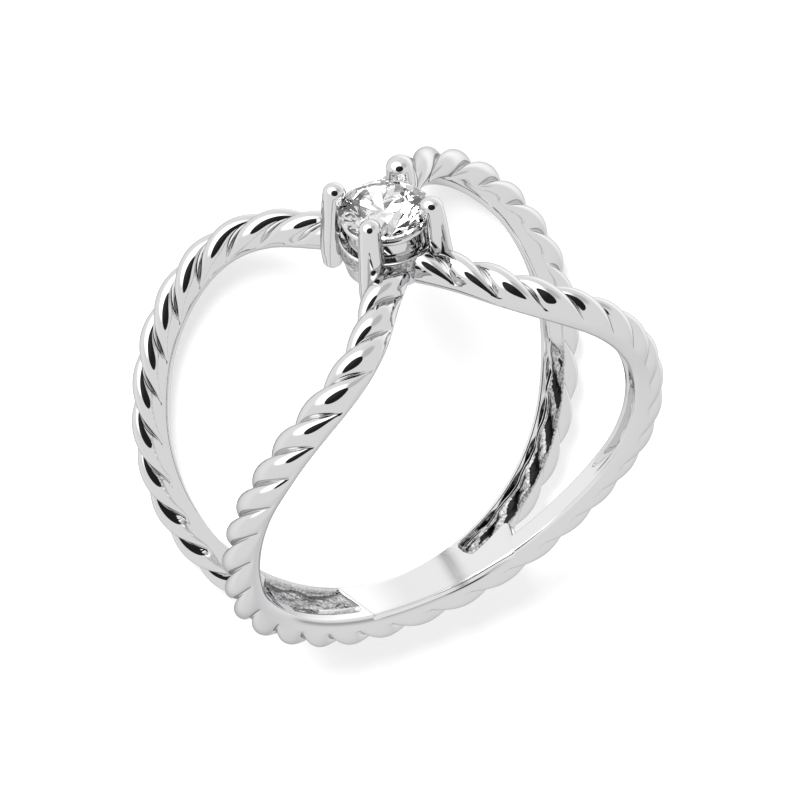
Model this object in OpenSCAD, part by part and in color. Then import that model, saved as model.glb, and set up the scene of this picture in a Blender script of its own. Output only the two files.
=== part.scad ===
// Split band ring with one round stone: two rope-twist bands cross under a four-claw basket,
// run apart over the sides of the finger and join again on a smooth plate at the base.
// Every piece is worked out with the ring upright, stone at +Z and the finger along Y,
// and is laid on its side, back band down, as the last step.

/* [Finger hole] */
// Inside diameter of the ring
bore_d = 17.3; // [16.5:0.1:19]

/* [Rope bands] */
// Height of a band, from the finger hole out to the top of a strand
rope_h = 1.5; // [1.3:0.05:1.7]
// Width of a band beside the head
rope_w = 1.6; // [1.4:0.02:1.7]
// Width of each band where the two lie side by side at the base
base_w = 1.16; // [1.1:0.02:1.3]
// Depth of the grooves between the strands
groove = 0.34; // [0.1:0.02:0.4]
// Number of strands that a band shows along its outside
strands = 35; // [28:1:40]
// How many strands a groove passes in one turn round the band
lay = 3.5; // [2:0.25:4]
// Width of the smooth inner face of a band
inner_w = 0.78; // [0.6:0.02:1]
// Width of the channel scooped out of the inner face
channel_w = 0.44; // [0.2:0.02:0.5]
// Depth of that channel
channel_d = 0.35; // [0.1:0.05:0.5]

/* [Base plate] */
// How far the plate reaches up each side from the lowest point, in degrees
plate_angle = 27.5; // [20:0.5:35]
// Thickness of the plate
plate_h = 0.6; // [0.5:0.05:0.8]

/* [Head] */
// Diameter of the stone
stone_d = 3.8; // [3.6:0.05:3.9]
// Height of the stone's girdle above the middle of the finger
girdle_z = 11.38; // [11.3:0.02:11.5]
// Distance of each claw tip from the head's axis
claw_r = 1.96; // [1.95:0.01:2]
// Thickness of the round wire under the girdle
wire_d = 0.28; // [0.2:0.02:0.3]

/* [Rest] */
// Lean of the ring as it lies, stone end up
rest_lean = 17; // [5:0.1:20]

/* [Hidden] */
bore_r = bore_d / 2;
loop_r = bore_r + rope_h / 2;
round_fn = 34;
gap = 0.03;
proud = 0.03;

// The back band's run: angle from the stone, distance from the ring's middle plane
run_rows = [[0, 0.9], [10, 2.58], [20, 4.3], [30, 5.2], [42, 5.45], [60, 5.08], [75, 4.42],
    [90, 3.76], [105, 3.03], [120, 2.15], [135, 1.45], [150, 0.98], [165, 0.68], [180, 0.54]];
ANGLE = 0;
ASIDE = 1;

function slope(k) =
    let (last = len(run_rows) - 1, a = run_rows[max(k - 1, 0)], b = run_rows[min(k + 1, last)])
    k == last ? 0 : (b[ASIDE] - a[ASIDE]) / (b[ANGLE] - a[ANGLE]);
function hermite(t, a, b, ta, tb) =
    (2*t*t*t - 3*t*t + 1) * a + (t*t*t - 2*t*t + t) * ta + (3*t*t - 2*t*t*t) * b + (t*t*t - t*t) * tb;
function half_turn(angle) = angle > 180 ? 360 - angle : angle;
// Distance from the middle plane at an angle of 0 to 360 degrees round the ring
function aside(angle) =
    let (a = half_turn(angle),
         k = max([for (i = [0:len(run_rows) - 2]) if (i == 0 || run_rows[i][ANGLE] <= a) i]),
         step = run_rows[k + 1][ANGLE] - run_rows[k][ANGLE])
    hermite((a - run_rows[k][ANGLE]) / step, run_rows[k][ASIDE], run_rows[k + 1][ASIDE],
        slope(k) * step, slope(k + 1) * step);
function aside_run(angle) = (aside(angle + 0.5) - aside(angle - 0.5)) * 180 / PI;

// Length along a band against the angle, so that the strands are evenly spaced
sample = 3;
function step_length(angle) = norm([loop_r, aside_run(angle)]) * sample * PI / 180;
length_at = [for (a = 0, s = 0; a <= 360; s = s + step_length(a + sample / 2), a = a + sample) [a, s]];
angle_at = [for (row = length_at) [row[1], row[0]]];
loop_length = length_at[len(length_at) - 1][1];
pitch = loop_length / strands;

// Width of a band: full over the upper half, narrower towards the base
narrow_from = 60;
function width_at(angle) = let (down = max(0, (half_turn(angle) - narrow_from) / (180 - narrow_from)))
    rope_w + (base_w - rope_w) * (down * (2 - down));

// Outline of a band across its run: the outer arc carries the strands, the sides below it
// are smooth, and the inner face has a channel between two rails
arc_half = 105;
arc_steps = 8;
function arc_point(turn) = [turn, 0.5 * sin(turn), 0.5 + 0.5 * cos(turn)];
arc_points = [for (k = [0:arc_steps]) arc_point(arc_half * (2 * k / arc_steps - 1))];
TURN = 0;
ACROSS = 1;
OUT = 2;
// Share of the groove's full depth at a turn from the top of the band
function groove_share(turn) = pow(max(0, cos(turn * 90 / arc_half)), 0.6);
// Offset along the band at a turn, so that the lines of the mesh follow the strands. It dies
// out over the smooth sides and is nearly nothing across the inner face.
function lead(turn) = lay * pitch * turn / 360;
side_lead = 85;
inner_leads = [35, 15, 6];
function arc_lead(turn) = lead(abs(turn) < arc_half - 1 ? turn : sign(turn) * side_lead);

// A point of a band: length along the loop, distance across it and distance from the axis
function band_point(s, across, out) =
    let (a = lookup(s, angle_at), tilt = atan2(aside_run(a), loop_r))
    [sin(a) * out, aside(a), cos(a) * out]
        + across * [-cos(a) * sin(tilt), cos(tilt), sin(a) * sin(tilt)];

// Height of a strand above its groove, from one groove to the next, four rings to a strand
strand_shape = [0.8, 0, 0.8, 1];
rings = len(strand_shape);
first_ring = 2;
last_ring = strands * rings - first_ring;

// The channel is full up to some degrees before its end and closes over a few more
function channel_share(angle, end) = max(0, min(1, (end - half_turn(angle)) / 6));

function arc_side(i, p) =
    let (s = i * pitch / rings + arc_lead(p[TURN]), w = width_at(lookup(s, angle_at)),
         dip = groove * (1 - strand_shape[i % rings]) * groove_share(p[TURN]))
    band_point(s, (w - 2 * dip) * p[ACROSS], bore_r + (rope_h - dip) * p[OUT]);
function inner_side(i, side, k, end) =
    let (s = i * pitch / rings + side * lead(inner_leads[k]),
         floor_out = channel_d * channel_share(lookup(s, angle_at), end),
         spots = [[inner_w, 0], [channel_w, 0], [channel_w * 0.7, floor_out]])
    band_point(s, side * spots[k][0] / 2, bore_r + spots[k][1]);
function ring_points(i, end) = concat([for (p = arc_points) arc_side(i, p)],
    [for (k = [0:2]) inner_side(i, 1, k, end)], [for (k = [0:2]) inner_side(i, -1, 2 - k, end)]);
ring_n = len(ring_points(first_ring, 0));
function band_points(end) = [for (i = [first_ring:last_ring]) each ring_points(i, end)];

// Skin of a tube of rings of n points each, closed at both ends to one point
function tube_faces(count, n) = let (last = (count - 1) * n, tips = count * n) concat(
    [for (i = [0:count - 2], j = [0:n - 1]) let (a = i * n + j, b = i * n + (j + 1) % n)
        each [[a, b, a + n], [b, b + n, a + n]]],
    [for (j = [0:n - 1]) [tips, (j + 1) % n, j]],
    [for (j = [0:n - 1]) [tips + 1, last + j, last + (j + 1) % n]]);

// One rope band, whose channel runs from the head to the angle "end"
module band(end) {
    ends = [for (i = [first_ring, last_ring]) band_point(i * pitch / rings, 0, loop_r)];
    polyhedron(concat(band_points(end), ends), tube_faces(last_ring - first_ring + 1, ring_n),
        convexity = 10);
}

back_channel_end = 158;
front_channel_end = 128;
module back_band() color("silver") band(back_channel_end);
module front_band() color("silver") mirror([0, 1, 0]) band(front_channel_end);

// Smooth plate that joins the bands at the base, a rim wider than their inner faces together,
// with a narrower web over it that fills the crease between the bands
plate_rings = 14;
rim = 0.07;
web_w = 0.3;
web_h = 1.2;
function plate_ring(i) =
    let (a = 180 + plate_angle * (2 * i / plate_rings - 1), w = aside(a) + inner_w / 2 + rim)
    [for (c = [[w, -proud], [-w, -proud], [-w, plate_h], [-web_w, web_h], [web_w, web_h], [w, plate_h]])
        [sin(a) * (bore_r + c[1]), c[0], cos(a) * (bore_r + c[1])]];
module base_plate() color("silver") {
    mids = [for (a = [180 - plate_angle, 180 + plate_angle]) [sin(a) * bore_r, 0, cos(a) * bore_r]];
    polyhedron(concat([for (i = [0:plate_rings]) each plate_ring(i)], mids),
        tube_faces(plate_rings + 1, 6));
}

// Basket: a collar on the finger hole, a square lower rail and a round wire under the girdle
hole_r = 1.1;
wire_r = 1.6;
wire_z = 10.98;
// Outside of the collar and lower rail: distance from the head's axis, height
collar_rows = [[1.7, 8.2], [1.9, 9.18], [1.9, 9.6], [1.97, 9.68], [1.97, 10.0],
    [1.9, 10.06], [1.5, 10.06]];
module collar() color("silver") rotate_extrude($fn = round_fn)
    polygon(concat([[hole_r, 9.75], [hole_r, collar_rows[0][1]]], collar_rows));
module gallery_wire() color("silver") translate([0, 0, wire_z]) rotate_extrude($fn = round_fn)
    translate([wire_r, 0]) circle(d = wire_d, $fn = 10);

// Claws, each in two straight lengths between three round knuckles, from the foot to the tip
// that holds the stone's edge: height, distance from the head's axis, half width, half thickness
claw_rows = [[8.87, 2.33, 0.46, 0.42], [10.3, 2.13, 0.43, 0.4], [11.94, claw_r, 0.37, 0.37]];
knuckle_fn = 14;
module knuckle(row) translate([row[1], 0, row[0]]) scale([row[3], row[2], row[3]])
    sphere(r = 1, $fn = knuckle_fn);
module claws() color("silver") for (a = [45, 135, 225, 315], k = [0, 1]) rotate(a) hull() {
    knuckle(claw_rows[k]);
    knuckle(claw_rows[k + 1]);
}

// Round brilliant cut: table, stars, kites and halves above the girdle, mains and halves below
stone_r = stone_d / 2;
girdle_h = 0.08;
table_r = 0.56 * stone_r;
table_z = girdle_z + girdle_h / 2 + 0.15 * stone_d;
star_r = 0.78 * stone_r;
culet_z = girdle_z - girdle_h / 2 - 0.43 * stone_d;
low_r = 0.28 * stone_r;
function crown_z(out) =
    let (top = girdle_z + girdle_h / 2) top + (table_z - top) * (stone_r - out) / (stone_r - table_r);
function pavilion_z(out) = culet_z + (girdle_z - girdle_h / 2 - culet_z) * out / stone_r;
function spoke(out, a, z) = [out * cos(a), out * sin(a), z];
module brilliant() {
    eighth = 45;
    half = eighth / 2;
    points = concat(
        [for (k = [0:7]) spoke(table_r, k * eighth, table_z)],
        [for (k = [0:7]) spoke(star_r, k * eighth + half, crown_z(star_r * cos(half)))],
        [for (k = [0:15]) spoke(stone_r, k * half, girdle_z + girdle_h / 2)],
        [for (k = [0:15]) spoke(stone_r, k * half, girdle_z - girdle_h / 2)],
        [for (k = [0:7]) spoke(low_r, k * eighth + half, pavilion_z(low_r * cos(half)))],
        [[0, 0, culet_z]]);
    star = 8;
    top = 16;
    under = 32;
    low = 48;
    culet = 56;
    faces = concat(
        [[for (k = [7:-1:0]) k]],
        [for (k = [0:7]) [k, (k + 1) % 8, star + k]],
        [for (k = [0:7]) [k, star + k, top + 2 * k, star + (k + 7) % 8]],
        [for (k = [0:7]) each [[star + k, top + 2 * k + 1, top + 2 * k],
            [star + k, top + (2 * k + 2) % 16, top + 2 * k + 1]]],
        [for (k = [0:15]) [top + k, top + (k + 1) % 16, under + (k + 1) % 16, under + k]],
        [for (k = [0:7]) each [[low + k, under + 2 * k, under + 2 * k + 1],
            [low + k, under + 2 * k + 1, under + (2 * k + 2) % 16]]],
        [for (k = [0:7]) [culet, low + (k + 7) % 8, under + 2 * k, low + k]]);
    polyhedron(points, faces);
}

// Room for the stone in the claws: its outline turned round, a hair larger
module seat() rotate_extrude($fn = round_fn) {
    edge = stone_r + gap;
    low_z = girdle_z - girdle_h / 2 - gap;
    high_z = girdle_z + girdle_h / 2 + gap;
    polygon([[0, culet_z - gap], [edge, low_z], [edge, high_z], [table_r, table_z + gap], [0, table_z + gap]]);
}

// The head stands on the finger hole, and the claws are cut to the stone's edge
module head() color("silver") difference() {
    union() {
        collar();
        gallery_wire();
        claws();
    }
    rotate([90, 0, 0]) cylinder(r = bore_r - proud, h = 6, center = true, $fn = 128);
    seat();
}

// The ring lies on its back band, leaning until the two sides of that band touch the ground
function laid(p) = let (c = cos(rest_lean), s = sin(rest_lean))
    [p[0], s * p[1] + c * p[2], -c * p[1] + s * p[2]];
back_tip = [0, claw_r * cos(45), claw_rows[2][0]]
    + claw_rows[2][2] * [0, sin(rest_lean), cos(rest_lean)];
outside = [for (p = concat(band_points(0), [for (q = band_points(0)) [q[0], -q[1], q[2]]],
    [back_tip])) laid(p)];
function middle(axis) = let (v = [for (p = outside) p[axis]]) (min(v) + max(v)) / 2;
function lowest() = min([for (p = outside) p[2]]);
rest_shift = [-middle(0), -middle(1), -lowest()];
module lay_down() translate(rest_shift) rotate([rest_lean - 90, 0, 0]) children();

module rope_band() lay_down() color("silver") union() {
    back_band();
    front_band();
    base_plate();
    head();
}

module stone() lay_down() color("white") brilliant();

rope_band();
stone();
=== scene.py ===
# %% [markdown]
# A finger ring with two rope-twist bands and one round, clear stone, dressed around its packed
# CAD model. The frame is loaded first, because each piece takes its place from it.

# %% Load the fixed frame
import bmesh
import bpy
import numpy as np
from mathutils import Matrix, Vector


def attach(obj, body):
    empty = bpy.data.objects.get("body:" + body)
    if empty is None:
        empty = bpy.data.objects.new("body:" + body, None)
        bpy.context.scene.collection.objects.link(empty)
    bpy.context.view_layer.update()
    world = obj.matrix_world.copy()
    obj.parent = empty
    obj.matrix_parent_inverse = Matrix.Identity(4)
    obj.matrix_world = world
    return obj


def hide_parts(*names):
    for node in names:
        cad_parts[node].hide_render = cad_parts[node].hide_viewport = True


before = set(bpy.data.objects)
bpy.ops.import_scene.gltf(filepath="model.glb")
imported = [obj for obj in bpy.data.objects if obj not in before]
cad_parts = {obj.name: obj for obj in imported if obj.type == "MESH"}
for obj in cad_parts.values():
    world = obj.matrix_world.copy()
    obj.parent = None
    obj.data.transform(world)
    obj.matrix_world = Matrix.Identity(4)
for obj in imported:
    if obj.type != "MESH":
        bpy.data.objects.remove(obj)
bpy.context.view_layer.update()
print("CAD nodes:", sorted(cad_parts))

# %% [markdown]
# The ring is easiest to describe upright: the finger along Y, the stone at the top. It lies on
# its side, leaning until both sides of the back band touch the ground, so each upright point is
# turned about X and moved. Sizes are in millimetres until that last step.

# %% From the upright ring to the ring as it lies
MM = 0.001
LEAN = np.radians(17.0)
LIE_SHIFT = np.array([0.0140, -1.1693, 4.2920])


def lie_down(p):
    """Turns upright points (x, y, z) to (x, y sin + z cos, z sin - y cos), then moves them."""
    x, y, z = p[..., 0], p[..., 1], p[..., 2]
    s, c = np.sin(LEAN), np.cos(LEAN)
    return (np.stack([x, s * y + c * z, s * z - c * y], -1) + LIE_SHIFT) * MM


print("the finger hole's centre lies at", np.round(lie_down(np.zeros(3)), 5), "metres")

# %% [markdown]
# Two small helpers shape almost everything below. One fades softly from 0 to 1, the other gives
# an unevenness that is the same each time. A noise texture could do the second as well, but the
# shape itself has to be uneven here, not just its shading.

# %% Soft steps and unevenness
def ease(low, high, x):
    """Goes from 0 at low to 1 at high along a smooth S: 3 t squared less 2 t cubed."""
    t = np.clip((x - low) / (high - low), 0, 1)
    return t * t * (3 - 2 * t)


def pitted(x, y, z, seed):
    """A smooth, repeatable unevenness near -1 to 1: a sum of waves that run in many directions."""
    rng = np.random.default_rng(seed)
    total = np.zeros(np.broadcast(x, y, z).shape)
    for k in range(9):
        kx, ky, kz = rng.normal(0, 1, 3) * rng.uniform(3, 9)
        total = total + np.sin(kx * x + ky * y + kz * z + rng.uniform(0, 6.3))
    return total / 5


print("halfway up a soft step:", ease(0, 1, 0.5))

# %% [markdown]
# Every metal surface below is a grid of points. These helpers join neighbours with four-sided
# faces and turn them to face outwards, by the sign of the volume that they close. A modifier
# could join them too, but plain arrays keep each corner where the formula puts it.

# %% Faces for a grid of points
def outward(points, faces):
    """Reverses the faces if the volume that they close, a sum of triple products, is negative."""
    a, b, c, d = (points[faces[:, k]] for k in range(4))
    volume = np.einsum("ij,ij->i", a, np.cross(b, c) + np.cross(c, d)).sum()
    return faces if volume > 0 else faces[:, ::-1]


def grid_faces(rows, cols, along=False):
    """Each cell is one face: its corner, the next row's, the one across and the next column's.
    The columns always close to a loop, the rows only if along is set."""
    i, j = np.meshgrid(np.arange(rows if along else rows - 1), np.arange(cols), indexing="ij")
    i2, j2 = (i + 1) % rows, (j + 1) % cols
    return np.stack([i * cols + j, i2 * cols + j, i2 * cols + j2, i * cols + j2],
                    -1).reshape(-1, 4)


def closed_sweep(points):
    """Rows of closed outlines, with a middle point added at both ends and joined by a fan."""
    rows, cols = points.shape[:2]
    n, j = rows * cols, np.arange(0, cols, 2)
    first = np.stack([0 * j + n, j, j + 1, (j + 2) % cols], -1)
    last = np.stack([0 * j + n + 1, (j + 2) % cols, j + 1, j], -1)
    last[:, 1:] += n - cols
    flat = np.concatenate([points.reshape(-1, 3), points[[0, -1]].mean(1)])
    return flat, np.concatenate([grid_faces(rows, cols), first, last])


print("a grid of 3 rows and 4 columns has", len(grid_faces(3, 4)), "faces")

# %% [markdown]
# A piece is laid down on the ring's place, smoothed, and put on the frame's body. Some points of
# a grid fall on each other, at a pole or at a clipped end. Those are welded, so that no face is
# empty. The values are numbers for each point, which the finish reads later.

# %% Make a piece of the ring
WELD = 2e-7


def piece(name, points, faces, node, values, weld=0.0):
    """A mesh from upright points and faces, laid down, riding on the ring, standing for a node."""
    laid = lie_down(points.reshape(-1, 3))
    mesh = bpy.data.meshes.new(name)
    mesh.from_pydata(laid, [], outward(laid - laid.mean(0), faces))
    for key, field in values.items():
        mesh.attributes.new(key, "FLOAT", "POINT").data.foreach_set(
            "value", np.ascontiguousarray(field, dtype=np.float32).ravel())
    if weld:
        bm = bmesh.new()
        bm.from_mesh(mesh)
        bmesh.ops.remove_doubles(bm, verts=bm.verts, dist=weld)
        bmesh.ops.dissolve_degenerate(bm, edges=bm.edges, dist=weld)
        bm.to_mesh(mesh)
        bm.free()
    mesh.polygons.foreach_set("use_smooth", np.ones(len(mesh.polygons), bool))
    obj = bpy.data.objects.new(name, mesh)
    bpy.context.scene.collection.objects.link(obj)
    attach(obj, "root")
    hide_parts(node)
    print(name, len(mesh.polygons), "faces")
    return obj


# %% [markdown]
# A band doesn't run straight round the finger. It leaves the head on the diagonal, swings out to
# the side, and comes back to meet the other band at the base. The table gives how far the back
# band is from the ring's middle plane at each angle from the stone, and a smooth curve through
# it gives the rest. The front band is its mirror image.

# %% The run of a band
BORE = 8.65
ROPE_H, ROPE_W, BASE_W = 1.5, 1.6, 1.16
LOOP = BORE + ROPE_H / 2
STRANDS = 35
RUN = np.array([[0, 0.9], [10, 2.58], [20, 4.3], [30, 5.2], [42, 5.45], [60, 5.08], [75, 4.42],
                [90, 3.76], [105, 3.03], [120, 2.15], [135, 1.45], [150, 0.98], [165, 0.68],
                [180, 0.54]])
SLOPE = np.gradient(RUN[:, 1], RUN[:, 0])
SLOPE[1:-1] = (RUN[2:, 1] - RUN[:-2, 1]) / (RUN[2:, 0] - RUN[:-2, 0])
SLOPE[-1] = 0


def half_turn(angle):
    """Angle from the stone, 0 to 180, whichever way round."""
    return np.where(angle > 180, 360 - angle, angle)


def aside(angle):
    """Cubic Hermite curve through the rows of RUN: distance from the middle plane."""
    a = np.clip(half_turn(angle), 0, 180)
    k = np.clip(np.searchsorted(RUN[:, 0], a, side="right") - 1, 0, len(RUN) - 2)
    step = RUN[k + 1, 0] - RUN[k, 0]
    t = (a - RUN[k, 0]) / step
    return ((2 * t**3 - 3 * t**2 + 1) * RUN[k, 1] + (t**3 - 2 * t**2 + t) * SLOPE[k] * step
            + (3 * t**2 - 2 * t**3) * RUN[k + 1, 1] + (t**3 - t**2) * SLOPE[k + 1] * step)


def aside_run(angle):
    """Change of aside() per radian."""
    return (aside(angle + 0.5) - aside(angle - 0.5)) * 180 / np.pi


print("the bands are", 2 * float(aside(np.array(90.0))), "mm apart at the ring's sides")

# %% [markdown]
# Strands are spaced along the band, not round the finger, so its length is added up in small
# steps. A band also gets narrower from the head down to the base.

# %% Length and width of a band
DENSE_STEP = 0.25
DENSE = np.arange(0, 360.001, DENSE_STEP)
STEP = np.hypot(LOOP, aside_run(DENSE[:-1] + DENSE_STEP / 2)) * np.radians(DENSE_STEP)
LENGTH = np.concatenate([[0], np.cumsum(STEP)])
PITCH = LENGTH[-1] / STRANDS
NARROW_FROM = 60


def width_at(angle):
    """Full width over the upper part, then narrower along a curve to the base."""
    down = np.clip((half_turn(angle) - NARROW_FROM) / (180 - NARROW_FROM), 0, 1)
    return ROPE_W + (BASE_W - ROPE_W) * down * (2 - down)


def on_band(s, across, out):
    """Point at a length along the loop, a distance across it and a distance from the axis."""
    a = np.interp(s, LENGTH, DENSE)
    tilt = np.arctan2(aside_run(a), LOOP)
    a, mid = np.radians(a), aside(a)
    x = np.sin(a) * out - across * np.cos(a) * np.sin(tilt)
    y = mid + across * np.cos(tilt)
    z = np.cos(a) * out + across * np.sin(a) * np.sin(tilt)
    return np.stack([x, y, z], -1)


print("band length", round(LENGTH[-1], 2), "mm, strand pitch", round(PITCH, 3), "mm")

# %% [markdown]
# A rope band is cast in one piece: its outside looks like four wires twisted together, its sides
# run smooth towards the finger, and its inside is scooped out to a channel between two rails, to
# save metal. Four twisted tubes would cut through each other, so one closed outline is carried
# along the band instead. Its arc carries the strands, which fade as the arc turns under.

# %% The outline across a band
ARC_HALF = 105.0
GROOVE = 0.40
INNER_W = 0.78
CHANNEL_W, CHANNEL_D = 0.50, 0.36
SIDE_WIDE, SIDE_HIGH = 0.42, 0.17  # the handle of the side's Bezier curve
EDGE_STEP, EDGE_ROUND = 0.025, 0.012
FLAT_HALF = INNER_W / 2 - 0.01
WALL_COLUMNS = np.array([0.06, 0.02, 0, -0.02, -0.045, -0.075, -0.12])


def outline():
    """Columns: share of the width, millimetres across, height, turn for the strands' lead, and
    how strongly the strands show. The arc is part of an ellipse, the sides are Bezier curves,
    and the flat inside has its columns close together at the channel's walls."""
    turn = np.linspace(-ARC_HALF, ARC_HALF, 58)
    t = np.radians(turn)
    share = np.clip(np.cos(np.radians(turn * 90 / ARC_HALF)), 0, 1) ** 0.7
    arc = np.stack([0.5 * np.sin(t), 0 * t, ROPE_H * (0.5 + 0.5 * np.cos(t)), turn, share], -1)
    b = np.linspace(0, 1, 13)[1:-1]
    edge = INNER_W / 2
    side = np.stack([(1 - b) ** 2 * arc[-1, 0] + 2 * b * (1 - b) * SIDE_WIDE, b * b * edge,
                     (1 - b) ** 2 * arc[-1, 2] + 2 * b * (1 - b) * SIDE_HIGH,
                     ARC_HALF * (1 - 0.75 * b), 0 * b], -1)
    inner = np.concatenate([[edge, edge - EDGE_STEP], CHANNEL_W / 2 + WALL_COLUMNS, [0.06]])
    rail = np.stack([0 * inner, inner, EDGE_ROUND * (inner > FLAT_HALF),
                     np.linspace(26, 2, len(inner)), 0 * inner], -1)
    right = np.concatenate([side, rail])
    left = right[::-1] * [-1, -1, 1, -1, 1]
    return np.concatenate([arc, right, left])


print("points in the outline:", len(outline()))

# %% [markdown]
# The wax of each band was twisted by hand, so its strands aren't quite even. A table for each
# band gives the place of some grooves: the length along the band, in pitches, the count of
# strands up to there, and the lay: how many pitches a strand would advance in a whole turn.

# %% The twist of each band
BACK_TWIST = np.array([[-1.72, -4.5, 2.5], [2.83, 0, 2.5], [7.67, 5, 2.5], [11.77, 9, 2.5],
                       [22.9, 20, 2.5], [27.91, 25, 2.5], [31.86, 29, 2.5], [37.23, 34.4, 2.5]])
FRONT_TWIST = np.array([[-2.09, -4, 2.1], [1.88, 0, 2.1], [4.76, 3, 2.1], [7.58, 6, 2.1],
                        [10.69, 9, 2.1], [13.61, 12, 2.29], [17.66, 16, 2.7], [20.44, 19, 2.7],
                        [21.52, 20, 2.7], [24.1, 22, 2.69], [26.3, 24, 2.36], [30.12, 28, 2.1],
                        [33.28, 31, 2.1], [36.83, 34.5, 2.1]])
print("places in the tables:", len(BACK_TWIST), "and", len(FRONT_TWIST))

# %% [markdown]
# A strand is a round wire, half sunk in the band. The grid's rows follow the strands, so a
# groove is one crisp line of the mesh and not a staircase. A plain grid with grooves pressed
# into it would need many times the faces. Rows are closer together near the grooves.

# %% The rows of a band, one strand after the other
ROWS_PER_STRAND = 24
ROUNDNESS = 0.9


def strand_bulge(count):
    """Height of a strand, 1 on its crest and 0 in the groove: a round wire's outline. The count
    of strands along the band is whole in each groove."""
    v = 2 * (count % 1.0) - 1
    low = np.sqrt(1 - ROUNDNESS**2)
    return (np.sqrt(1 - (ROUNDNESS * v) ** 2) - low) / (1 - low)


def strand_rows(twist, turn):
    """Length along the band and crest height: the row's place from the table, plus its lay
    times the column's share of a whole turn. Half a pitch at each end of the loop stays free."""
    k = np.arange(ROWS_PER_STRAND) / ROWS_PER_STRAND
    near_groove = 0.5 * k + 0.5 * (0.5 - 0.5 * np.cos(np.pi * k))
    whole = np.arange(np.ceil(twist[0, 1]), np.floor(twist[-1, 1]))
    count = (whole[:, None] + near_groove).ravel()[:, None]
    place, strand, lay = twist.T
    lead = np.interp(count, strand, lay) * PITCH * turn / 360
    s = np.interp(count, strand, place) * PITCH + lead
    s = np.clip(s, 0.5 * PITCH, (STRANDS - 0.5) * PITCH)
    return s, strand_bulge(np.interp((s - lead) / PITCH, place, strand))


print("strand height a quarter of the way across it:", round(float(strand_bulge(0.25)), 2))

# %% [markdown]
# The next steps all need the same numbers for each point of a band, so they are kept together:
# where it is, and which part of the outline it belongs to. The near side is the one that the
# back band leaves open. The hollow's walls are steep all along the back band, and on the left
# half of the front one.

# %% A band before it is hollowed
NEAR_SIDE_TOP = 0.6


class Band:
    """One band's grid, a row for each step along the strands and a column for each point of the
    outline: length s, angle from the stone, distance across, height out, and crest. A groove
    takes its depth off the height and, twice, off the width."""

    def __init__(self, twist, channel_end, cast):
        cols = self.cols = outline()
        self.cast = cast
        self.end_s = np.interp(channel_end, DENSE, LENGTH)
        self.s, self.crest = strand_rows(twist, cols[:, 3])
        self.angle = np.interp(self.s, LENGTH, DENSE)
        dip = GROOVE * (1 - self.crest) * cols[:, 4]
        self.across = cols[:, 0] * (width_at(self.angle) - 2 * dip) + cols[:, 1]
        self.out = cols[:, 2] * (ROPE_H - dip) / ROPE_H
        self.near_side = (cols[:, 1] < 0) & (cols[:, 2] < NEAR_SIDE_TOP) & cast
        self.inner = (cols[:, 2] == 0) & (np.abs(cols[:, 1]) < FLAT_HALF)
        self.steep = cast | (self.angle > 180)


print("rows in the back band:", len(Band(BACK_TWIST, 180, True).s))

# %% [markdown]
# The hollow inside a band is drawn by one number for each point: how far it is inside the
# hollow's outline. The channel is a long slot with round ends. The back band's has lost its near
# rail towards the base. Left of the base plate, a pocket takes the near part of both bands. A
# boolean could cut these out, but it would break the rows that follow the strands.

# %% The outline of the hollow inside a band
PLATE_FROM, PLATE_TO = 147.0, 198.0  # degrees from the stone
POCKET_TO = 224.0
POCKET_SIDE = {True: 0.30, False: -0.08}  # millimetres across, for the back and the front band
MM_PER_DEGREE = 0.15
OPEN_FROM, OPEN_PER_DEGREE = 98, 0.015


def hollow_reach(b):
    """Millimetres inside the hollow's outline: half the slot's width less the distance from its
    middle line. Where two outlines overlap, the larger number counts."""
    middle = LENGTH[-1] / 2
    along = np.maximum(0, CHANNEL_W / 2 - (np.abs(b.s - middle) - (middle - b.end_s)))
    reach = CHANNEL_W / 2 - np.hypot(b.across, along)
    open_side = np.minimum(CHANNEL_W / 2 - along, (b.angle - OPEN_FROM) * OPEN_PER_DEGREE)
    open_side = open_side * (b.angle < 180)
    reach = np.where(b.near_side & (b.across < 0), np.maximum(reach, open_side), reach)
    pocket = np.minimum(np.minimum(b.angle - PLATE_TO, POCKET_TO - b.angle) * MM_PER_DEGREE,
                        POCKET_SIDE[b.cast] - b.across)
    return np.where(pocket > 0, np.maximum(reach, pocket), reach)


print("the pocket is", round((POCKET_TO - PLATE_TO) * MM_PER_DEGREE, 1), "mm long")

# %% [markdown]
# Inside its outline the hollow has a wall and a floor. The strands show on the floor from
# behind as soft ripples, and casting leaves it grainy. The front band's channel is polished: its
# walls are gentler, and towards the plate it runs out to nothing.

# %% Dig the hollow
STEEP_WALL, GENTLE_WALL = 0.075, 0.17
RUN_OUT = 2.2
RIPPLE, GRAIN = 0.05, 0.035


def floor_shape(b):
    """Ripples, a cosine of the strands' count, and the grain of the casting."""
    ripple = np.cos(2 * np.pi * (b.s / PITCH + 0.4 * b.across / CHANNEL_W))
    return ripple, pitted(b.s * 0.9, b.across * 1.3, 0 * b.s, 5)


def dig_hollow(b):
    """Pushes the points inside the outline outwards, to the full depth beyond the wall. Keeps
    the share of the depth, 0 to 1, for the finish."""
    wall = np.where(b.steep, STEEP_WALL, GENTLE_WALL)
    b.scoop = ease(0, wall, hollow_reach(b)) * (b.inner | b.near_side)
    run_out = np.where(b.steep, 1, ease(-0.1, RUN_OUT, b.end_s - b.s))
    b.ripple, b.grain = floor_shape(b)
    depth = CHANNEL_D + RIPPLE * b.ripple + GRAIN * b.grain
    b.out = np.maximum(b.out, b.scoop * run_out * depth)


print("the hollow is", CHANNEL_D, "mm deep")
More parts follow.
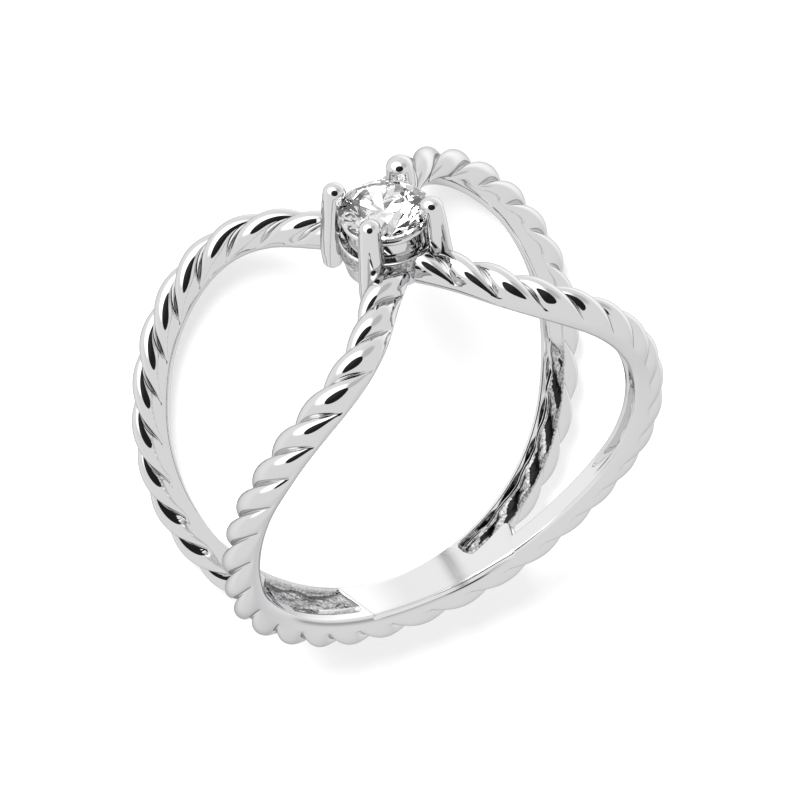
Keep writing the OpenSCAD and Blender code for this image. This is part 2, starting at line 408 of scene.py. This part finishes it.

# %% [markdown]
# A polishing wheel reaches the outside and the rails, but not the hollow, which stays rougher. The
# hollow is painted darker as shade: black patches on the back band's right half, and grey on both
# bands' left. The front band's rim has a soft crease at the base, where the strands begin, which
# is also painted darker as shade. Each finish and painted mark is a number for every point, so it
# sits on the metal itself, whichever way the ring is turned.

# %% The finish and painted shade of a band
# How strongly the pocket's floor is painted with black specks of shade.
POCKET_PAINTED_SHADE = 0.18
RAIL_FOOT, PATCH_SIDE = (0.17, 0.11), (0.09, 0.01)  # millimetres across
PATCH_TOP = (0.50, 0.38)
DULL_AND_DARK_FROM, PATCH_FROM = (94, 104), (101, 108)  # degrees from the stone
CREASE_HIGH, CREASE_WIDE, CREASE_DEEP = 0.17, 0.07, 0.04
CREASE_SPAN = (150, 165), (230, 220)
# Where the smooth inner flats near the base are painted brighter, as a highlight.
PAINTED_BRIGHT_SPAN, PAINTED_BRIGHT_TOP = ((112, 122), (228, 218)), 0.12


def within(x, rise, fall):
    """1 between two soft steps: up along the first pair of values, down along the second."""
    return ease(*rise, x) * ease(*fall, x)


def recess_dull_and_shade(b):
    """Two numbers for each point. The first is 1 where the wheel never was: the metal is rougher
    there, and painted grey as shade. The second is black patches of painted shade, which follow
    the ripples and the grain, and end at the rail and below the open edge."""
    left = ease(PLATE_TO, PLATE_TO + 1, b.angle)
    right = b.cast * (b.angle < 180) * ease(*RAIL_FOOT, b.across)
    patches = ease(-0.35, 0.35, b.ripple + 0.45 * b.grain) * ease(*PATCH_FROM, b.angle)
    patches = patches * ease(*PATCH_TOP, b.cols[:, 2]) * ease(*PATCH_SIDE, b.across)
    # Painted shade: black patches on the back band's right half, and a weak share in the pocket,
    # where only specks turn black.
    recess_shade_patches = np.maximum(b.scoop * right * patches, b.scoop * left * POCKET_PAINTED_SHADE)
    return b.scoop * np.maximum(right * ease(*DULL_AND_DARK_FROM, b.angle), left), recess_shade_patches


def rim_crease(b):
    """A bell curve round one height on the front band's rim."""
    rim = (b.cols[:, 0] > 0) & (not b.cast) & (np.abs(b.cols[:, 3]) < ARC_HALF + 1)
    bell = np.exp(-((b.out - CREASE_HIGH) / CREASE_WIDE) ** 2)
    return bell * rim * within(b.angle, *CREASE_SPAN)


print("halfway into the crease:", within(157.5, *CREASE_SPAN))

# %% [markdown]
# Now a band can be put together: strands, hollow, crease, and the finish and painted shade for
# each point. The front band is the mirror image of the back band's run, with its own twist and no
# black patches of painted shade in its channel.

# %% The two rope bands
def rope_band(name, sign, twist, channel_end, cast):
    """Carries the outline along the band. The sign puts it behind or before the middle plane."""
    b = Band(twist, channel_end, cast)
    dig_hollow(b)
    hollow, recess_shade_patches = recess_dull_and_shade(b)
    # Painted shade: the crease is pressed into the rim, and its number also paints the metal
    # darker.
    crease = rim_crease(b)
    # Painted highlight: the smooth inner flats near the base get the brighter metal.
    smooth = (b.out < PAINTED_BRIGHT_TOP) * within(b.angle, *PAINTED_BRIGHT_SPAN)
    across = b.across - CREASE_DEEP * crease
    points, faces = closed_sweep(on_band(b.s, across, BORE + b.out) * [1, sign, 1])
    # These values paint the metal: shade in the grooves, the hollow and the crease, and a
    # highlight on the smooth flats.
    fields = {"groove": (1 - b.crest) * b.cols[:, 4], "hollow": hollow, "recess_shade_patches": recess_shade_patches,
              "crease_shade_and_streak": crease, "smooth": smooth}
    fields = {key: np.append(value, [0, 0]) for key, value in fields.items()}
    return piece(name, points, faces, "rope_band", fields, WELD)


back_rope = rope_band("back_rope", 1, BACK_TWIST, 162, cast=True)
front_rope = rope_band("front_rope", -1, FRONT_TWIST, 120.5, cast=False)

# %% [markdown]
# At the base the two bands lie side by side, and one smooth plate joins them on the inside. It
# is a shallow arch with rounded edges, a hair proud of the finger hole. A bent box would have
# sharp corners, so a rounded bar's outline is carried round the base. To the right a tongue of
# the plate runs on along the front band alone, and both its ends are cut at a slant.

# %% The base plate
PLATE_RISE, PLATE_HALF, PLATE_MARGIN = 0.27, 0.3, 0.05
SQUARENESS = 0.2  # a power: 1 is a round bar, near 0 a square one
TONGUE_CUT, TONGUE_STEP = INNER_W + 0.4, (164.5, 160)
LEFT_SLANT, RIGHT_SLANT = 1.6, 2.0  # degrees for each millimetre across
STREAK_AT, STREAK_WIDE = 167, 2.0


def plate_ends(a):
    """1 along the plate and falling to 0 at both ends, along a very square ellipse."""
    right = (np.maximum(180 - a, 0) / (180 - PLATE_FROM)) ** 40
    left = (np.maximum(a - 180, 0) / (PLATE_TO - 180)) ** 60
    return np.sqrt(np.clip(1 - right, 0, 1)) * np.sqrt(np.clip(1 - left, 0, 1))


def base_plate():
    """The two parameters are the angle and a turn round the bar. Across and out are the cosine
    and sine of that turn to a low power, which makes the circle nearly a square."""
    a = np.linspace(PLATE_FROM, PLATE_TO, 181)[:, None]
    t = np.linspace(0, 2 * np.pi, 96, endpoint=False)
    c, q, tip = np.cos(t), np.sin(t), plate_ends(a)
    edge = aside(a) + INNER_W / 2 + PLATE_MARGIN
    near, far = -edge, edge - TONGUE_CUT * ease(*TONGUE_STEP, a)
    y = (near + far) / 2 + np.sign(c) * np.abs(c) ** SQUARENESS * (far - near) / 2 * tip
    r = BORE + PLATE_RISE + np.sign(q) * np.abs(q) ** SQUARENESS * PLATE_HALF * tip
    slant = LEFT_SLANT * ease(190, PLATE_TO, a) - RIGHT_SLANT * ease(158, PLATE_FROM, a)
    turn = np.radians(a + slant * y)
    points = np.stack([np.sin(turn) * r, y + 0 * r, np.cos(turn) * r], -1)
    # A soft, uneven grey streak slants across the plate.
    streak = 0.8 * np.exp(-((a + 0.9 * y - STREAK_AT) / STREAK_WIDE) ** 2)
    streak = streak * (1 + 0.35 * pitted(a * 0.3, y, 0, 3))
    # Painted highlight: the whole plate gets the brighter metal.
    return piece("base_plate", points, grid_faces(*points.shape[:2]), "rope_band",
                 {"crease_shade_and_streak": streak, "smooth": 1 + 0 * streak}, WELD)


plate = base_plate()

# %% [markdown]
# To the left of the plate the space between the bands is a shallow pocket: the metal was left thin
# there, and its floor is grainy and rough, painted grey with black specks as shade. To the right,
# the same floor shows in the open end of the back band's channel. Each is a thin, closed slab with
# an uneven top, which fills the gap between the two bands behind their rims.

# %% The rough floors
SLAB = 0.25
FLOOR_SHORT = 0.3  # the floor ends this far before the bands' middle lines
FLOOR_LEAST = 0.1


def rough_floor(name, start, stop, near, far):
    """Two layers, the inner one at the bore plus the channel's depth plus bumps, at each angle
    and distance. Near and far are the sides' shares of the bands' distance."""
    a = np.linspace(start, stop, 160)[:, None]
    v = np.linspace(0, 1, 41)
    y = (near + (far - near) * v) * np.maximum(aside(a) - FLOOR_SHORT, FLOOR_LEAST)
    top = BORE + CHANNEL_D + GRAIN * pitted(a * 0.16, y * 1.2, 0 * a, 8) + 0 * y
    turn = np.radians(a)
    upper, under = (np.stack([np.sin(turn) * r, y, np.cos(turn) * r], -1)
                    for r in (top, top + SLAB))
    points, faces = closed_sweep(np.concatenate([upper, under[:, ::-1]], axis=1))
    even = np.ones(len(points))
    # Painted shade: both floors are painted grey, with black specks, all over.
    return piece(name, points, faces, "rope_band",
                 {"hollow": even, "recess_shade_patches": POCKET_PAINTED_SHADE * even})


floors = [rough_floor("pocket_floor", 192, 222, -1, 1),
          rough_floor("channel_floor", 150.5, 166, -0.5, 1)]

# %% [markdown]
# The head is a basket: a turned collar with a square rail, a round wire under the stone's edge,
# and four claws. The collar and wire are outlines spun round the head's axis, as a lathe would
# turn them. The collar's sharp corners are rounded first, because real edges catch the light.

# %% Collar, rail and upper wire
STONE_D = 3.8
GIRDLE_Z = 11.38
RAIL_PAINTED_DARK_FROM = 1.93
COLLAR = np.array([[1.12, 8.62], [1.72, 8.55], [1.86, 9.16], [1.9, 9.24], [1.9, 9.4], [1.98, 9.46],
                   [1.98, 10.0], [1.9, 10.06], [1.56, 10.08], [1.54, 10.76], [1.44, 10.76],
                   [1.36, 10.0], [1.12, 9.8]])
WIRE_R, WIRE_Z, WIRE_THICK = 1.68, 10.96, 0.14


def spun(name, outline_rows, steps=144):
    """Carries a closed outline of (radius, height) rows round the Z axis. The rail is rougher, and
    painted darker grey as a dark reflection.
    """
    r, z = outline_rows.T
    a = np.linspace(0, 2 * np.pi, steps, endpoint=False)[:, None]
    points = np.stack([r * np.cos(a), r * np.sin(a), z + 0 * a], -1)
    # Painted reflection: the rail's outer face is painted darker grey and made rougher.
    dull_and_painted_dark = ease(RAIL_PAINTED_DARK_FROM, RAIL_PAINTED_DARK_FROM + 0.03, r) + 0 * a
    return piece(name, points, grid_faces(steps, len(r), along=True), "rope_band",
                 {"hollow": dull_and_painted_dark})


def rounded(corners, radius, steps=5):
    """Replaces each corner of a closed outline by a quadratic Bezier curve of that reach."""
    to_b, to_a = np.roll(corners, 1, 0) - corners, np.roll(corners, -1, 0) - corners
    len_b, len_a = (np.linalg.norm(v, axis=1, keepdims=True) for v in (to_b, to_a))
    start = corners + to_b / len_b * np.minimum(radius, 0.45 * len_b)
    stop = corners + to_a / len_a * np.minimum(radius, 0.45 * len_a)
    t = np.linspace(0, 1, steps)[None, :, None]
    curve = ((1 - t) ** 2 * start[:, None] + 2 * t * (1 - t) * corners[:, None]
             + t**2 * stop[:, None])
    return curve.reshape(-1, 2)


collar = spun("collar", rounded(COLLAR, 0.04))
wire_t = np.linspace(0, 2 * np.pi, 24, endpoint=False)
wire = spun("upper_wire", np.stack([WIRE_R + WIRE_THICK * np.cos(wire_t),
                                    WIRE_Z + WIRE_THICK * np.sin(wire_t)], -1))

# %% [markdown]
# A claw is a round finger of metal: wide at its foot, leaning in, with a domed tip that is
# pressed over the stone's edge. A bent cylinder would have even thickness, so an ellipse is
# carried up the claw instead, and a table gives its height, distance from the head's axis, half
# width and half depth. The rear claws lean out a little more, as bent by hand.

# %% Claws
CLAW_ROWS = np.array([[8.35, 2.36, 0.44, 0.38], [8.87, 2.33, 0.50, 0.44], [9.6, 2.26, 0.51, 0.46],
                      [10.3, 2.17, 0.50, 0.46], [11.2, 2.08, 0.49, 0.45], [11.7, 2.02, 0.47, 0.44],
                      [11.86, 1.98, 0.46, 0.44]])
FOOT_DOME, TIP_DOME = 0.3, 0.43


def claw(name, turn, lean, wider, thicker):
    """Rows up the claw and a turn round it. Each end is closed by a dome, a quarter turn whose
    sine gives the height and whose cosine gives the size."""
    z, r, wide, thick = CLAW_ROWS.T * [[1], [1], [wider], [thicker]]
    r = r + lean * (z - z[0]) / (z[-1] - z[0])
    zz = z[0] + (z[-1] - z[0]) * np.linspace(0, 1, 60)
    centre, w, d = (np.interp(zz, z, v) for v in (r, wide, thick))
    dome = np.linspace(0, np.pi / 2, 14)[1:]
    low = dome[::-1]
    zz = np.concatenate([z[0] - np.sin(low) * FOOT_DOME, zz, z[-1] + np.sin(dome) * TIP_DOME])
    centre = np.concatenate([r[0] + 0 * low, centre, r[-1] + 0 * dome])
    w = np.concatenate([np.cos(low) * wide[0], w, np.cos(dome) * wide[-1]])
    d = np.concatenate([np.cos(low) * thick[0], d, np.cos(dome) * thick[-1]])
    t = np.linspace(0, 2 * np.pi, 48, endpoint=False)
    x = centre[:, None] + d[:, None] * np.cos(t)
    y = w[:, None] * np.sin(t)
    a = np.radians(turn)
    points = np.stack([x * np.cos(a) - y * np.sin(a), x * np.sin(a) + y * np.cos(a),
                       zz[:, None] + 0 * x], -1)
    return piece(name, points, grid_faces(*points.shape[:2]), "rope_band", {}, WELD)


claws = [claw("claw_back_right", 45, 0.26, 1.2, 1.3), claw("claw_back_left", 135, 0.12, 1.0, 1.1),
         claw("claw_front_left", 225, 0.0, 1.0, 1.1),
         claw("claw_front_right", 315, 0.02, 1.0, 1.16)]

# %% [markdown]
# The stone is a round brilliant. Its facets must be truly flat, or its sparkle is wrong, so each
# corner is worked out from the planes of the cut, and the faces are shaded flat. Cutting a cone
# with planes would give the same shape, but leaves stray edges.

# %% The corners of the stone
TABLE, STAR, LOWER = 0.56, 0.78, 0.28
CROWN_TALL, PAVILION_DEEP, GIRDLE_HALF = 0.15, 0.43, 0.04


def spokes(out, z, n, first=0.0):
    """A ring of n corners at one distance and height."""
    a = np.arange(n) * 2 * np.pi / n + first
    return np.stack([out * np.cos(a), out * np.sin(a), np.full(n, z)], -1)


def brilliant_corners():
    """Rings of corners: table, stars, upper girdle, lower girdle, pavilion halves and culet. A
    star corner lies on the plane of its two kites, and a lower one on that of its two mains."""
    r, half = STONE_D / 2, np.pi / 8
    top, low = GIRDLE_Z + GIRDLE_HALF, GIRDLE_Z - GIRDLE_HALF
    table_z, culet_z = top + CROWN_TALL * STONE_D, low - PAVILION_DEEP * STONE_D
    crown = lambda out: top + (table_z - top) * (r - out) / (r - TABLE * r)
    pavilion = lambda out: culet_z + (low - culet_z) * out / r
    return np.concatenate([
        spokes(TABLE * r, table_z, 8),
        spokes(STAR * r, crown(STAR * r * np.cos(half)), 8, half),
        spokes(r, top, 16), spokes(r, low, 16),
        spokes(LOWER * r, pavilion(LOWER * r * np.cos(half)), 8, half), [[0, 0, culet_z]]])


stone_points = brilliant_corners()
print("stone corners", len(stone_points))

# %% [markdown]
# The corners are joined eight times round: a star, a kite, two upper and two lower girdle
# facets and a pavilion main. The table and the sixteen flats of the girdle make up the rest.

# %% The facets of the stone
def brilliant_facets():
    """Corner numbers of each facet: rings start at 0, 8, 16, 32 and 48, and 56 is the culet."""
    faces = [list(range(8))]
    for k in range(8):
        a, b = 16 + 2 * k, 16 + (2 * k + 1) % 16
        c = 16 + (2 * k + 2) % 16
        faces += [[k, 8 + k, (k + 1) % 8], [k, 8 + (k + 7) % 8, a, 8 + k],
                  [8 + k, a, b], [8 + k, b, c],
                  [48 + k, b + 16, a + 16], [48 + k, c + 16, b + 16],
                  [56, 48 + k, a + 16, 48 + (k + 7) % 8]]
    for k in range(16):
        a, b = 16 + k, 16 + (k + 1) % 16
        faces += [[a, a + 16, b + 16, b]]
    return faces


stone_mesh = bpy.data.meshes.new("stone_cut")
stone_mesh.from_pydata(lie_down(stone_points), [], brilliant_facets())
bm = bmesh.new()
bm.from_mesh(stone_mesh)
bmesh.ops.recalc_face_normals(bm, faces=bm.faces)
bm.to_mesh(stone_mesh)
bm.free()
stone = bpy.data.objects.new("stone_cut", stone_mesh)
bpy.context.scene.collection.objects.link(stone)
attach(stone, "root")
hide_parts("stone")
print("stone facets", len(stone_mesh.polygons))

# %% [markdown]
# Shader maths reads best as plain Python. This class wraps a socket, so that 1 - mask adds the
# Math node it needs, and node() adds any other kind.

# %% A small language for shaders
class Val:
    """A shader socket with arithmetic."""

    def __init__(self, tree, socket):
        self.tree, self.socket = tree, socket

    def math(self, operation, *values):
        return Shader(self.tree).node("ShaderNodeMath", {"operation": operation},
                                      dict(enumerate(values)))

    def __add__(self, other):
        return self.math("ADD", self, other)

    def __mul__(self, other):
        return self.math("MULTIPLY", self, other)

    def __sub__(self, other):
        return self.math("SUBTRACT", self, other)

    def __rsub__(self, other):
        return self.math("SUBTRACT", other, self)

    __radd__, __rmul__ = __add__, __mul__


class Shader:
    """A node tree that nodes are added to by type, settings and inputs."""

    def __init__(self, tree):
        self.tree = tree

    def node(self, kind, settings=None, inputs=None, out=0):
        """Settings come first. An input is a constant, or a socket to link."""
        made = self.tree.nodes.new(kind)
        for key, value in (settings or {}).items():
            setattr(made, key, value)
        for key, value in (inputs or {}).items():
            if isinstance(value, Val):
                self.tree.links.new(value.socket, made.inputs[key])
            else:
                made.inputs[key].default_value = value
        return Val(self.tree, made.outputs[out]) if len(made.outputs) else made

    def field(self, name):
        """The number that the mesh keeps for each point under this name."""
        return self.node("ShaderNodeAttribute", {"attribute_name": name}, out=2)

    def noise(self, place, scale, detail):
        """Blender's cloudy pattern, near 0.5: a larger scale makes it finer."""
        return self.node("ShaderNodeTexNoise", None,
                         {"Vector": place, "Scale": scale, "Detail": detail})

    def step(self, value, low, high):
        """0 below low, 1 above high, and a smooth S between."""
        return self.node("ShaderNodeMapRange", {"interpolation_type": "SMOOTHSTEP"},
                         {0: value, 1: low, 2: high})

    def mix(self, factor, first, second):
        """A colour from the first to the second as the factor goes from 0 to 1."""
        return self.node("ShaderNodeMix", {"data_type": "RGBA"},
                         {0: factor, 6: first, 7: second}, out=2)


def finish_of(name):
    """A new material with an empty tree, and its shader writer."""
    material = bpy.data.materials.new(name)
    material.use_nodes = True
    material.node_tree.nodes.clear()
    print("finish", name)
    return material, Shader(material.node_tree)


# %% [markdown]
# Polished silver with a rhodium finish is nearly white and almost a mirror. A hand-polished
# surface isn't perfect: it has long, very low waves, which bend the reflections a little, and it
# is a trace duller in the grooves, which are also painted a little grey as shade. Where the wheel
# can't reach, it is grainy and rougher, and painted darker as shade, with black patches of painted
# shade. The rail is painted darker as a dark reflection, the rim's crease is painted darker as
# shade, the smooth flats and the plate are painted brighter as a highlight, and a grey streak
# crosses the plate. Metal reflects less just before its edge, which draws thin outlines.

# %% Polished white metal
# The brighter tone is a painted highlight. The grey and the black are painted shade, and the grey
# also paints the rail's dark reflection and the plate's streak.
WHITE_METAL, PAINTED_BRIGHT_METAL = (0.70, 0.70, 0.705, 1), (0.79, 0.79, 0.795, 1)
PAINTED_DARK_GREY, PAINTED_SHADE_BLACK = (0.18, 0.18, 0.18, 1), (0.025, 0.025, 0.025, 1)
EDGE_TINT = (0.5, 0.5, 0.51, 1)


def polished_metal():
    """Tone: white metal, or a brighter one on smooth parts as a painted highlight. It is greyed as
    painted shade in the grooves, the rim's crease and the hollows, as a painted dark reflection on
    the rail, and by the plate's grey streak, and blackened by patches of painted shade. Height:
    low waves, and a grain that is far stronger in the hollows."""
    material, sh = finish_of("polished_white_metal")
    place = sh.node("ShaderNodeTexCoord", out=3)
    hollow = sh.field("hollow")
    waves = sh.noise(place, 900.0, 1.0)
    grain = sh.noise(place, 5200.0, 3.0)
    specks = sh.noise(place, 9000.0, 4.0)
    # Painted shade: the grooves are greyed a little below, besides being rougher.
    dull_and_painted_dark = sh.step(sh.field("groove"), 0.45, 1.0)
    rough = 0.03 + dull_and_painted_dark * 0.05 + hollow * 0.22 + (grain - 0.5) * 0.02
    blotch = sh.step(specks, 0.35, 0.75)
    # Painted shade greys the grooves, the rim's crease and the hollows. A painted dark reflection
    # greys the rail, and the plate's streak is grey too.
    grey = dull_and_painted_dark * 0.15 + sh.field("crease_shade_and_streak") * 0.7 + hollow * (0.25 + blotch * 0.75)
    # Painted highlight: smooth parts get the brighter metal.
    bright = sh.mix(grey, sh.mix(sh.field("smooth"), WHITE_METAL, PAINTED_BRIGHT_METAL), PAINTED_DARK_GREY)
    # Painted shade: black patches where the hollows' patch value is high.
    recess_shade_mask = sh.step(sh.field("recess_shade_patches") + (specks - 0.5) * 1.1, 0.42, 0.5)
    height = waves * 0.6 + grain * (0.02 + hollow * 6.0)
    bump = sh.node("ShaderNodeBump", None,
                   {"Strength": 0.08, "Distance": 0.0001, "Height": height})
    shader = sh.node("ShaderNodeBsdfPrincipled", None,
                     {"Base Color": sh.mix(recess_shade_mask, bright, PAINTED_SHADE_BLACK), "Metallic": 1.0,
                      "Roughness": rough, "Normal": bump, "Specular Tint": EDGE_TINT})
    sh.node("ShaderNodeOutputMaterial", None, {"Surface": shader})
    return material


METAL = polished_metal()
for obj in [back_rope, front_rope, plate, collar, wire] + floors + claws:
    obj.data.materials.append(METAL)

# %% [markdown]
# Cubic zirconia is clear and bends light strongly, with an index near 2.15. Nothing is painted
# on it: the cut alone makes its light and dark facets. A trace of roughness, uneven like a
# fingerprint's film, keeps them from being perfectly sharp.

# %% Clear stone
ZIRCONIA_INDEX = 2.15


def clear_stone():
    """Glass of the stone's index, with a film of noise as its roughness."""
    material, sh = finish_of("clear_zirconia")
    film = sh.noise(sh.node("ShaderNodeTexCoord", out=3), 1500.0, 2.0)
    shader = sh.node("ShaderNodeBsdfPrincipled", None,
                     {"Base Color": (0.985, 0.985, 0.98, 1), "Roughness": film * 0.006,
                      "IOR": ZIRCONIA_INDEX, "Transmission Weight": 1.0})
    sh.node("ShaderNodeOutputMaterial", None, {"Surface": shader})
    return material


stone.data.materials.append(clear_stone())

# %% [markdown]
# The ring lies on a plain white table, which the photograph shows as pure white with a faint,
# soft shadow. A lamp alone would leave the shadow too dark, so the floor glows a little by
# itself. The metal doesn't see the floor, which would draw a hard horizon on each strand.

# %% Floor
FLOOR_HALF = 0.6
FLOOR_GLOW = 0.43


def studio_floor():
    """A square on the ground, matte and slightly glowing."""
    mesh = bpy.data.meshes.new("floor")
    mesh.from_pydata([(-FLOOR_HALF, -FLOOR_HALF, 0), (FLOOR_HALF, -FLOOR_HALF, 0),
                      (FLOOR_HALF, FLOOR_HALF, 0), (-FLOOR_HALF, FLOOR_HALF, 0)], [],
                     [(0, 1, 2, 3)])
    obj = bpy.data.objects.new("floor", mesh)
    bpy.context.scene.collection.objects.link(obj)
    material, sh = finish_of("pale_floor")
    shader = sh.node("ShaderNodeBsdfPrincipled", None,
                     {"Base Color": (0.62, 0.62, 0.62, 1), "Roughness": 0.9,
                      "Specular IOR Level": 0.1, "Emission Color": (1, 1, 1, 1),
                      "Emission Strength": FLOOR_GLOW})
    sh.node("ShaderNodeOutputMaterial", None, {"Surface": shader})
    mesh.materials.append(material)
    obj.visible_glossy = False


studio_floor()

# %% [markdown]
# Polished metal shows its surroundings, so the surroundings give it its look: light grey all
# round, white at the back left and the lower right, and greyer at the back right. The lens looks
# through one dark, round opening, and the metal draws it as a crisp dark leaf on each strand. A
# picture of a studio could be wrapped round the scene, but a few round patches are enough.

# %% Sky of light
SKY = 0.95
# each patch: its direction, inner and outer angle in degrees, and strength
PATCHES = [((-0.50, 0.80, 0.33), 25, 45, 1.2), ((0, 0, -1), 60, 88, 0.1),
           ((0.80, 0.0, -0.60), 25, 55, 0.4), ((0.46, 0.66, 0.65), 14, 26, -0.3)]
LENS_OPENING = (-0.338, 0.402, 0.851)
LENS_INNER, LENS_OUTER, LENS_DARK = 30.5, 32.5, 0.98


def studio_sky():
    """Each patch is 1 within the inner angle of its direction and 0 outside the outer angle, in
    degrees, times its strength."""
    world = bpy.data.worlds.new("studio")
    bpy.context.scene.world = world
    world.use_nodes = True
    world.node_tree.nodes.clear()
    sh = Shader(world.node_tree)
    way = sh.node("ShaderNodeTexCoord", out=0)

    def patch(direction, inner, outer):
        d = np.array(direction) / np.linalg.norm(direction)
        facing = sh.node("ShaderNodeVectorMath", {"operation": "DOT_PRODUCT"},
                         {0: way, 1: tuple(d)}, out=1)
        low, high = (float(np.cos(np.radians(angle))) for angle in (outer, inner))
        return sh.step(facing, low, high)

    glow = SKY
    for direction, inner, outer, strength in PATCHES:
        glow = glow + patch(direction, inner, outer) * strength
    power = glow * (1 - LENS_DARK * patch(LENS_OPENING, LENS_INNER, LENS_OUTER))
    light = sh.node("ShaderNodeBackground", None, {"Color": (1, 1, 1, 1), "Strength": power})
    sh.node("ShaderNodeOutputWorld", None, {"Surface": light})
    print("sky with", len(PATCHES), "patches and one dark opening")


studio_sky()

# %% [markdown]
# One soft box, high at the back left, gives the ring its soft shadow to the lower right. The
# metal doesn't see it, as the sky's own patch already draws its white reflection.

# %% Key light
def lamp(name, position, target, size, watts):
    """A round soft box at a place, facing the target."""
    data = bpy.data.lights.new(name, "AREA")
    data.shape, data.size, data.energy = "DISK", size, watts
    obj = bpy.data.objects.new(name, data)
    bpy.context.scene.collection.objects.link(obj)
    obj.location = position
    obj.visible_glossy = False
    obj.rotation_mode = "QUATERNION"
    obj.rotation_quaternion = (Vector(target) - Vector(position)).to_track_quat("-Z", "Y")
    print("lamp", name, watts, "W")


lamp("key", (-0.12, 0.22, 0.17), (0, 0, 0), 0.14, 1.7)

# %% [markdown]
# The photograph looks down on the upright ring from its front left. The ring lies here, so the
# same view of it comes from higher up. A long lens keeps the nearly parallel lines.

# %% Camera
CAM_AZ, CAM_EL, CAM_ROLL = np.radians([-25.87, 39.30, -4.04])
CAM_DIST = 908.7
PX_PER_MM, CENTRE_PX = 24.44, np.array([-0.38, 25.37])
PICTURE_PX = 800


def photo_camera():
    """The camera's axes for the upright ring, from its angles, then laid down with the ring. The
    lens is the scale in pixels times the distance, as a share of the picture's width."""
    back = np.array([np.sin(CAM_AZ) * np.cos(CAM_EL), -np.cos(CAM_AZ) * np.cos(CAM_EL),
                     np.sin(CAM_EL)])
    right = np.array([np.cos(CAM_AZ), np.sin(CAM_AZ), 0])
    up = np.cross(back, right)
    c, s = np.cos(CAM_ROLL), np.sin(CAM_ROLL)
    right, up = right * c + up * s, up * c - right * s
    aim = -right * CENTRE_PX[0] / PX_PER_MM + up * CENTRE_PX[1] / PX_PER_MM
    turn = lambda v: (lie_down(np.array(v)) - lie_down(np.zeros(3))) / MM
    spot = lie_down(aim + back * CAM_DIST)
    data = bpy.data.cameras.new("photo")
    data.sensor_width = 36
    data.lens = PX_PER_MM * CAM_DIST * data.sensor_width / PICTURE_PX
    data.clip_end = 3
    obj = bpy.data.objects.new("photo", data)
    bpy.context.scene.collection.objects.link(obj)
    axes = np.stack([turn(right), turn(up), turn(back), spot], -1)
    obj.matrix_world = Matrix(np.vstack([axes, [0, 0, 0, 1]]).tolist())
    bpy.context.scene.camera = obj
    print("camera", np.round(spot, 4), "lens", round(data.lens, 1))


photo_camera()
bpy.context.scene.view_settings.view_transform = "Standard"
